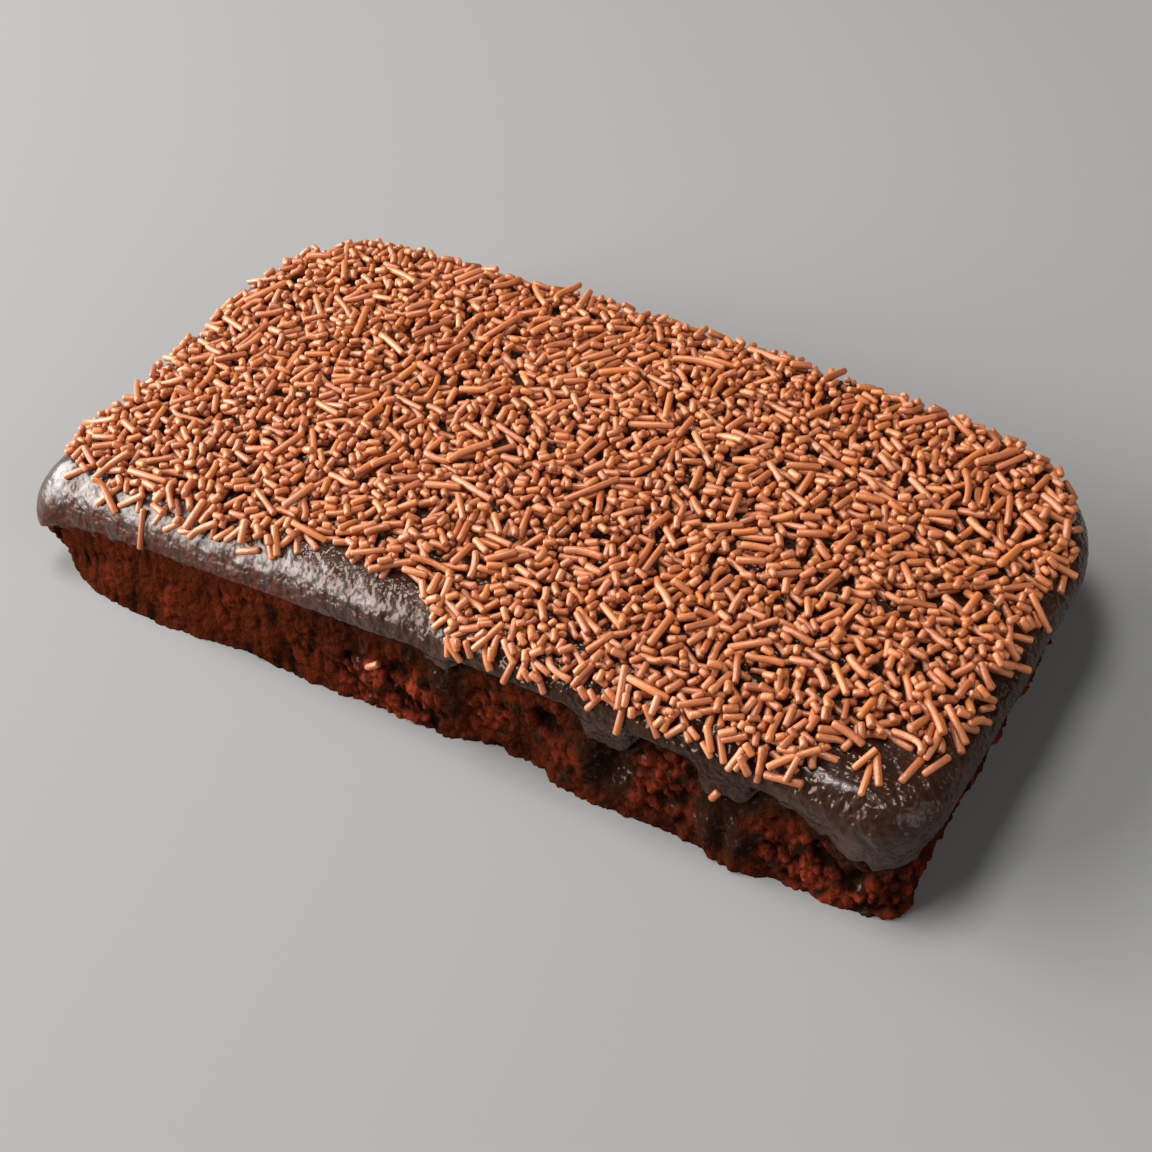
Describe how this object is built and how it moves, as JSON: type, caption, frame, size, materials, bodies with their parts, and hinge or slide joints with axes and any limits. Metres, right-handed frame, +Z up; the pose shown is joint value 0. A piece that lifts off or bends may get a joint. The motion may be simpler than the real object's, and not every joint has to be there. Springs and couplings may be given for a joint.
{
  "type": "chocolate slab cake",
  "caption": "Low rectangular chocolate sponge under a glossy poured chocolate icing, its top strewn with chocolate sprinkles and its craggy sides partly bare.",
  "frame": {"origin": "middle of the cake's outline, at the flat underside it rests on", "axes": "+X along the long side to the right end, +Y from the front wall to the back, +Z up"},
  "size_m": [0.1908, 0.1003, 0.0301],
  "materials": {
    "crumb": "moist dark chocolate sponge, open red-brown crumb, matte",
    "icing": "dark chocolate icing, satin to glossy, rippled",
    "sprinkles": "milk chocolate sprinkles, pinkish brown, satin"
  },
  "bodies": {
    "root": {"cake": "crumb", "icing": "icing"}
  },
  "joints": []
}
